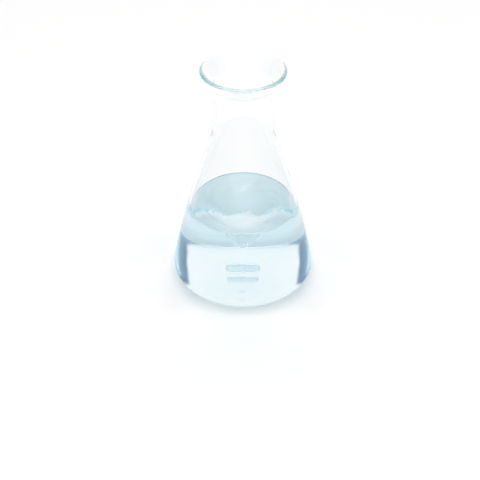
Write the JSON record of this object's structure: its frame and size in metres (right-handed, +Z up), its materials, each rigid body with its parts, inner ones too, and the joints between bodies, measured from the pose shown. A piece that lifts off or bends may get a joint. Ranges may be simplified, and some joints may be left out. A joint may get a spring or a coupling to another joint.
{
  "type": "erlenmeyer flask",
  "caption": "Conical narrow-neck glass flask with a flared beaded rim, charged with water that a magnetic stir bar whirls into a funnel.",
  "frame": {"origin": "centre of the circle on which the flask stands, in the plane of the table", "axes": "+Z up along the flask's axis and out of its neck; +X along the stir bar at rest; the flask is round about Z"},
  "size_m": [0.085, 0.085, 0.14],
  "materials": {
    "borosilicate_glass": "clear, fire polished",
    "water": "clear liquid",
    "ptfe": "waxy satin white",
    "magnet_alloy": "ground metal"
  },
  "bodies": {
    "flask": {"flask_glass": "borosilicate_glass"},
    "water": {"water": "water"},
    "stir_bar": {"stir_bar_jacket": "ptfe", "stir_bar_magnet": "magnet_alloy"}
  },
  "joints": [
    {"name": "water_swirl", "type": "hinge", "parent": "flask", "child": "water", "pos_m": [0, 0, 0.02], "axis": [0, 0, 1], "continuous": true},
    {"name": "stir_bar_spin", "type": "hinge", "parent": "flask", "child": "stir_bar", "pos_m": [0, 0, 0.0067], "axis": [0, 0, 1], "continuous": true}
  ],
  "couplings": [
    {"joint": "stir_bar_spin", "follows": "water_swirl", "ratio": 1}
  ]
}
